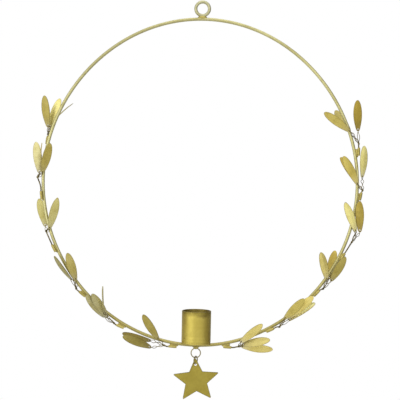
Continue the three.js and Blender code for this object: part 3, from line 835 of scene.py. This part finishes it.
# a wire from the knot through the leaf's hole and back, its two halves twisted round each other
def threadLeaf(leafPlace, knot):
    neck = (blade['holeInset'] + seatGap + stem['wire'] / 2) * mm
    depth = loopDepth * mm
    neckPoint = leafPlace @ Vector((0, -neck, 0))
    way = knot - neckPoint
    away = way.normalized()
    front = leafPlace.to_3x3() @ Vector((0, 0, 1))
    front = (front - away * front.dot(away)).normalized()
    aside = away.cross(front)
    wander = random.uniform(-1, 1) * stem['wander'] * mm
    opened = random.uniform(*stem['pairLoop']) * mm
    turns = max(1, round(way.length / (stem['pairPitch'] * mm) * 2)) / 2
    halves = []
    for sign in (1, -1):
        strand = []
        for i in range(1, stem['pairSteps'] + 1):
            t = i / stem['pairSteps']
            closed = min(1.0, t * stem['closing']) ** stem['closingBend']
            gap = depth + (stem['pairSpread'] * mm - depth) * closed
            gap += opened * sin(2 * pi * turns * t) ** 2
            turned = Quaternion(away, 2 * pi * turns * t) @ front
            bowed = aside * wander * sin(pi * t)
            strand.append(neckPoint + way * t + bowed + turned * gap * sign)
        halves.append(strand)
    corner = []
    for i in range(stem['loopSteps'] + 1):
        bend = radians(90 - 180 * i / stem['loopSteps'])
        corner.append(leafPlace @ Vector((0, neck * (cos(bend) - 1), depth * sin(bend))))
    return list(reversed(halves[0])) + corner + halves[1]


# a short tube, a little crimped, with an open mouth at each end
def makeSleeve():
    length = stem['sleeveLength']
    rings = len(stem['sleeveShape']) - 1
    deselectAll()
    bpy.ops.mesh.primitive_cylinder_add(vertices=stem['sleeveSides'], radius=stem['sleeveRadius'] * mm,
                                        depth=length / rings * mm)
    sleeve = bpy.context.object
    for ring in range(1, rings):
        editFaces(sleeve, lambda face: face.normal.z > flatwise)
        extrude((0, 0, length / rings * mm))
        endEdit()
    foot = -length / rings / 2
    for ring, share in enumerate(stem['sleeveShape']):
        height = foot + length * ring / rings
        editPoints(sleeve, lambda co: abs(co.z / mm - height) < samePlace)
        resize(share, share, 1, (0, 0, height * mm))
        endEdit()
    editFaces(sleeve, lambda face: abs(face.normal.z) > flatwise)
    bpy.ops.mesh.inset(thickness=stem['sleeveWall'] * mm, use_individual=True)
    inward = {'value': -stem['sleeveMouth'] * mm}
    bpy.ops.mesh.extrude_region_shrink_fatten(TRANSFORM_OT_shrink_fatten=inward)
    endEdit()
    sleeve.location.z = -(length / 2 + foot) * mm
    applyPlace(sleeve)
    roundEdges(sleeve, stem['sleeveEdge'])
    addModifier(sleeve, 'SUBSURF', levels=1, render_levels=1)
    applyModifiers(sleeve)
    smoothByAngle(sleeve, 60)
    return sleeve


def copyOf(master):
    piece = master.copy()
    piece.data = master.data.copy()
    bpy.context.scene.collection.objects.link(piece)
    return piece


# a place in a sprig's own frame, with Y up along the hoop and Z to the front
def sprigPoint(sign, along, out, front):
    return Vector((sign * out, along, front)) * mm


def setSleeve(name, sprigPlace, middle, heading, masterSleeve):
    sleeve = copyOf(masterSleeve)
    turn = Vector((0, 0, 1)).rotation_difference(heading).to_matrix().to_4x4()
    sleeve.matrix_world = sprigPlace @ Matrix.Translation(middle) @ turn
    dress(sleeve, name, sleeveMetal, 'wreath', 'stem_wire')


# drops of braze fill the wedge between the hoop and a sleeve
def brazeSleeve(name, sprigPlace, start, end):
    drops = []
    hoopSurface = hoop['wire'] / 2 * mm
    alongHoop = Vector((0, 1, 0))
    for share, thickness in stem['brazeDrops']:
        beside = start.lerp(end, share)
        apart = Vector((beside.x, 0, beside.z))
        toSleeve = apart.normalized()
        gap = apart.length - hoopSurface - stem['sleeveRadius'] * mm
        middle = toSleeve * (hoopSurface + gap / 2) + alongHoop * beside.y
        wedge = Matrix((toSleeve, alongHoop, toSleeve.cross(alongHoop))).transposed().to_4x4()
        size = (gap / mm + stem['brazeGrip'], stem['brazeLength'], thickness)
        drop = addDrop(size, (0, 0, 0))
        drop.matrix_world = sprigPlace @ Matrix.Translation(middle) @ wedge
        applyPlace(drop)
        drops.append(drop)
    dress(runTogether(drops, stem), name, brazeMetal, 'wreath', 'stem_wire')


# lines of the twisted bundle from the sleeve's mouth to the knot, wrapped there by its own end
def twistBundle(mouth, heading, knot):
    kink = Vector((random.uniform(-1, 1), random.uniform(-1, 1), 0)) * stem['wander'] * mm
    bow = mouth + heading * (knot - mouth).length * stem['kinkAt'] + kink
    middleLine = smoothLine([mouth, bow, knot], stem['bundleSteps'])
    strands = stem['strands']
    lines = [windRound(middleLine, stem['strandRadius'] * mm, stem['twistPitch'] * mm,
                       2 * pi * k / strands) for k in range(strands)]
    wrapLength = stem['wrapPitch'] * stem['wrapTurns'] * mm
    up = (knot - mouth).normalized()
    steps = stem['wrapSteps']
    wrap = [knot + up * wrapLength * (i / steps - 0.5) for i in range(steps + 1)]
    lines.append(windRound(wrap, stem['wrapRadius'] * mm, stem['wrapPitch'] * mm, 0))
    return lines


# a copy of the pressed leaf with a slight twist and its own factor of painted light and shade
def hangLeaf(side, label, place, tone, paintedShading, masterLeaf):
    leaf = copyOf(masterLeaf)
    addModifier(leaf, 'SIMPLE_DEFORM', deform_method='TWIST', deform_axis='Y',
                angle=radians(random.uniform(-1, 1) * blade['twist']))
    applyModifiers(leaf)
    leaf.matrix_world = place
    markPoints(leaf, 'paintedShading', lambda co: paintedShading)
    dress(leaf, f'{side}_blade_{label}', leafMetals[tone], 'wreath', 'leaf_brass', f'{side}_leaf_{label}')


def growSprig(side, number, row, masterLeaf, masterSleeve):
    sign = 1 if side == 'right' else -1
    angle = radians(row['at'])
    forward = Vector((0, -1, 0))
    right = hoopOutward(angle) * sign
    turned = Matrix((right, forward.cross(right), forward)).transposed().to_4x4()
    sprigPlace = Matrix.Translation(hoopPoint(angle)) @ turned

    length = stem['sleeveLength']
    offset = hoop['wire'] / 2 + seatGap + stem['sleeveRadius']
    outShare = cos(radians(row['round']))
    frontShare = sin(radians(row['round']))
    lean = radians(row['lean'])
    start = sprigPoint(sign, -length / 2, offset * outShare, offset * frontShare)
    heading = sprigPoint(sign, cos(lean), sin(lean) * outShare, sin(lean) * frontShare).normalized()
    end = start + heading * length * mm
    setSleeve(f'{side}_sleeve_{number}', sprigPlace, (start + end) / 2, heading, masterSleeve)
    brazeSleeve(f'{side}_braze_{number}', sprigPlace, start, end)

    knot = sprigPoint(sign, *row['knot'])
    lines = twistBundle(end - heading * stem['mouthDepth'] * mm, heading, knot)
    for letter, leafRow in zip('abc', row['leaves']):
        wireLean, reach, leafLean, layer, nod, turn, tone, paintedShading = leafRow
        along = row['knot'][0] + reach * cos(radians(wireLean))
        out = row['knot'][1] + reach * sin(radians(wireLean))
        place = Matrix.Translation(sprigPoint(sign, along, out, layer * layerDepth)) @ (
            Matrix.Rotation(radians(-sign * leafLean), 4, 'Z')
            @ Matrix.Rotation(radians(nod), 4, 'X')
            @ Matrix.Rotation(radians(sign * turn), 4, 'Y'))
        lines.append(threadLeaf(place, knot))
        hangLeaf(side, f'{number}{letter}', sprigPlace @ place, tone, paintedShading, masterLeaf)
    lines = [[sprigPlace @ point for point in line] for line in lines]
    wires = layWire(lines, stem['wire'], stem['rounding'])
    dress(wires, f'{side}_wires_{number}', leafWireMetal, 'wreath', 'stem_wire', f'{side}_stem_{number}')


masterLeaf = pressLeaf()
masterSleeve = makeSleeve()
for side, rows in sprigRows.items():
    for number, row in enumerate(rows, 1):
        growSprig(side, number, row, masterLeaf, masterSleeve)
bpy.data.objects.remove(masterLeaf)
bpy.data.objects.remove(masterSleeve)
print('sprigs made')


studio = {'floorZ': -0.64, 'floorRadius': 1.0, 'floorSides': 128, 'floor': (0.86, 0.86, 0.86, 1),
          'floorRoughness': 0.9, 'room': 0.84, 'aim': (0, 0, -0.16), 'cardTint': (1, 0.98, 0.94)}
# lamps: place, width and height, brightness
lamps = {
    'keyLeft': ((-0.95, -0.95, 0.05), (1.1, 1.3), 1.05),
    'fillRight': ((0.3, -1.3, 0.1), (0.7, 1.2), 0.68),
    'topLamp': ((0, -0.25, 0.95), (0.9, 0.7), 1.3),
}
# cards that the metal mirrors and the camera doesn't see: place, width and height, brightness
cards = {
    'frontCard': ((0.1, -1.9, -0.1), (1.6, 2.0), 0.63),
    'leftCard': ((-0.85, 0.55, -0.15), (1.7, 2.0), 0.54),
    'rightCard': ((0.85, 0.35, -0.15), (2.1, 2.0), 0.29),
}


def layFloor():
    deselectAll()
    bpy.ops.mesh.primitive_circle_add(vertices=studio['floorSides'], radius=studio['floorRadius'],
                                      fill_type='NGON', location=(0, 0, studio['floorZ']))
    floor = bpy.context.object
    floor.name = 'floor'
    material = bpy.data.materials.new('floorPaper')
    material.use_nodes = True
    shader = material.node_tree.nodes['Principled BSDF']
    shader.inputs['Base Color'].default_value = studio['floor']
    shader.inputs['Roughness'].default_value = studio['floorRoughness']
    floor.data.materials.append(material)


# the camera and the metal see white, and the rest is lit by a soft grey room
def lightRoom():
    world = bpy.data.worlds.new('whiteRoom')
    bpy.context.scene.world = world
    world.use_nodes = True
    tree = world.node_tree
    path = addNode(tree, 'LightPath', {})
    seen = path.outputs['Is Camera Ray']
    for kind in ('Is Glossy Ray', 'Is Transmission Ray'):
        seen = addNode(tree, 'Math', {0: seen, 1: path.outputs[kind]}, operation='MAXIMUM').outputs[0]
    background = tree.nodes['Background']
    background.inputs['Color'].default_value = (1, 1, 1, 1)
    tree.links.new(spread(tree, seen, 0, 1, studio['room'], 1.0), background.inputs['Strength'])


def facing(place, axis):
    return (Vector(studio['aim']) - Vector(place)).to_track_quat(axis, 'Y')


def hangLamp(name, place, size, brightness):
    deselectAll()
    bpy.ops.object.light_add(type='AREA', location=place)
    lamp = bpy.context.object
    lamp.name = name
    lamp.data.shape = 'RECTANGLE'
    lamp.data.size, lamp.data.size_y = size
    lamp.data.energy = brightness * pi * size[0] * size[1]
    lamp.rotation_mode = 'QUATERNION'
    lamp.rotation_quaternion = facing(place, '-Z')


def placeCard(name, place, size, brightness):
    deselectAll()
    bpy.ops.mesh.primitive_plane_add(size=1, location=place)
    card = bpy.context.object
    card.name = name
    card.scale = (size[0], size[1], 1)
    card.rotation_mode = 'QUATERNION'
    card.rotation_quaternion = facing(place, 'Z')
    material = bpy.data.materials.new(name)
    material.use_nodes = True
    tree = material.node_tree
    tree.nodes.remove(tree.nodes['Principled BSDF'])
    tinted = [brightness * tint for tint in studio['cardTint']]
    glow = addNode(tree, 'Emission', {'Color': (*tinted, 1), 'Strength': 1})
    tree.links.new(glow.outputs[0], tree.nodes['Material Output'].inputs['Surface'])
    card.data.materials.append(material)
    card.visible_camera = False


view = {'distance': 0.88, 'scale': 0.86, 'roll': 1.155, 'pixels': 400, 'across': 199.2,
        'down': 182.2, 'sensor': 36}


# the photograph is a square of so many pixels: scale is millimetres per pixel at the wreath,
# and across and down are the pixel that the lens points at
def placeCamera():
    deselectAll()
    bpy.ops.object.camera_add(location=(0, -view['distance'], hoop['centreZ'] * mm))
    camera = bpy.context.object
    camera.data.sensor_width = view['sensor']
    pixels = view['pixels']
    camera.data.lens = view['sensor'] * view['distance'] / (view['scale'] * mm * pixels)
    camera.data.shift_x = (pixels / 2 - view['across']) / pixels
    camera.data.shift_y = (view['down'] - pixels / 2) / pixels
    camera.rotation_mode = 'QUATERNION'
    roll = Quaternion((0, 0, 1), radians(view['roll']))
    camera.rotation_quaternion = Quaternion((1, 0, 0), pi / 2) @ roll
    bpy.context.scene.camera = camera


layFloor()
lightRoom()
for name, (place, size, brightness) in lamps.items():
    hangLamp(name, place, size, brightness)
for name, (place, size, brightness) in cards.items():
    placeCard(name, place, size, brightness)
placeCamera()
bpy.context.scene.view_settings.view_transform = 'Standard'
print('stage set')

bpy.context.view_layer.update()
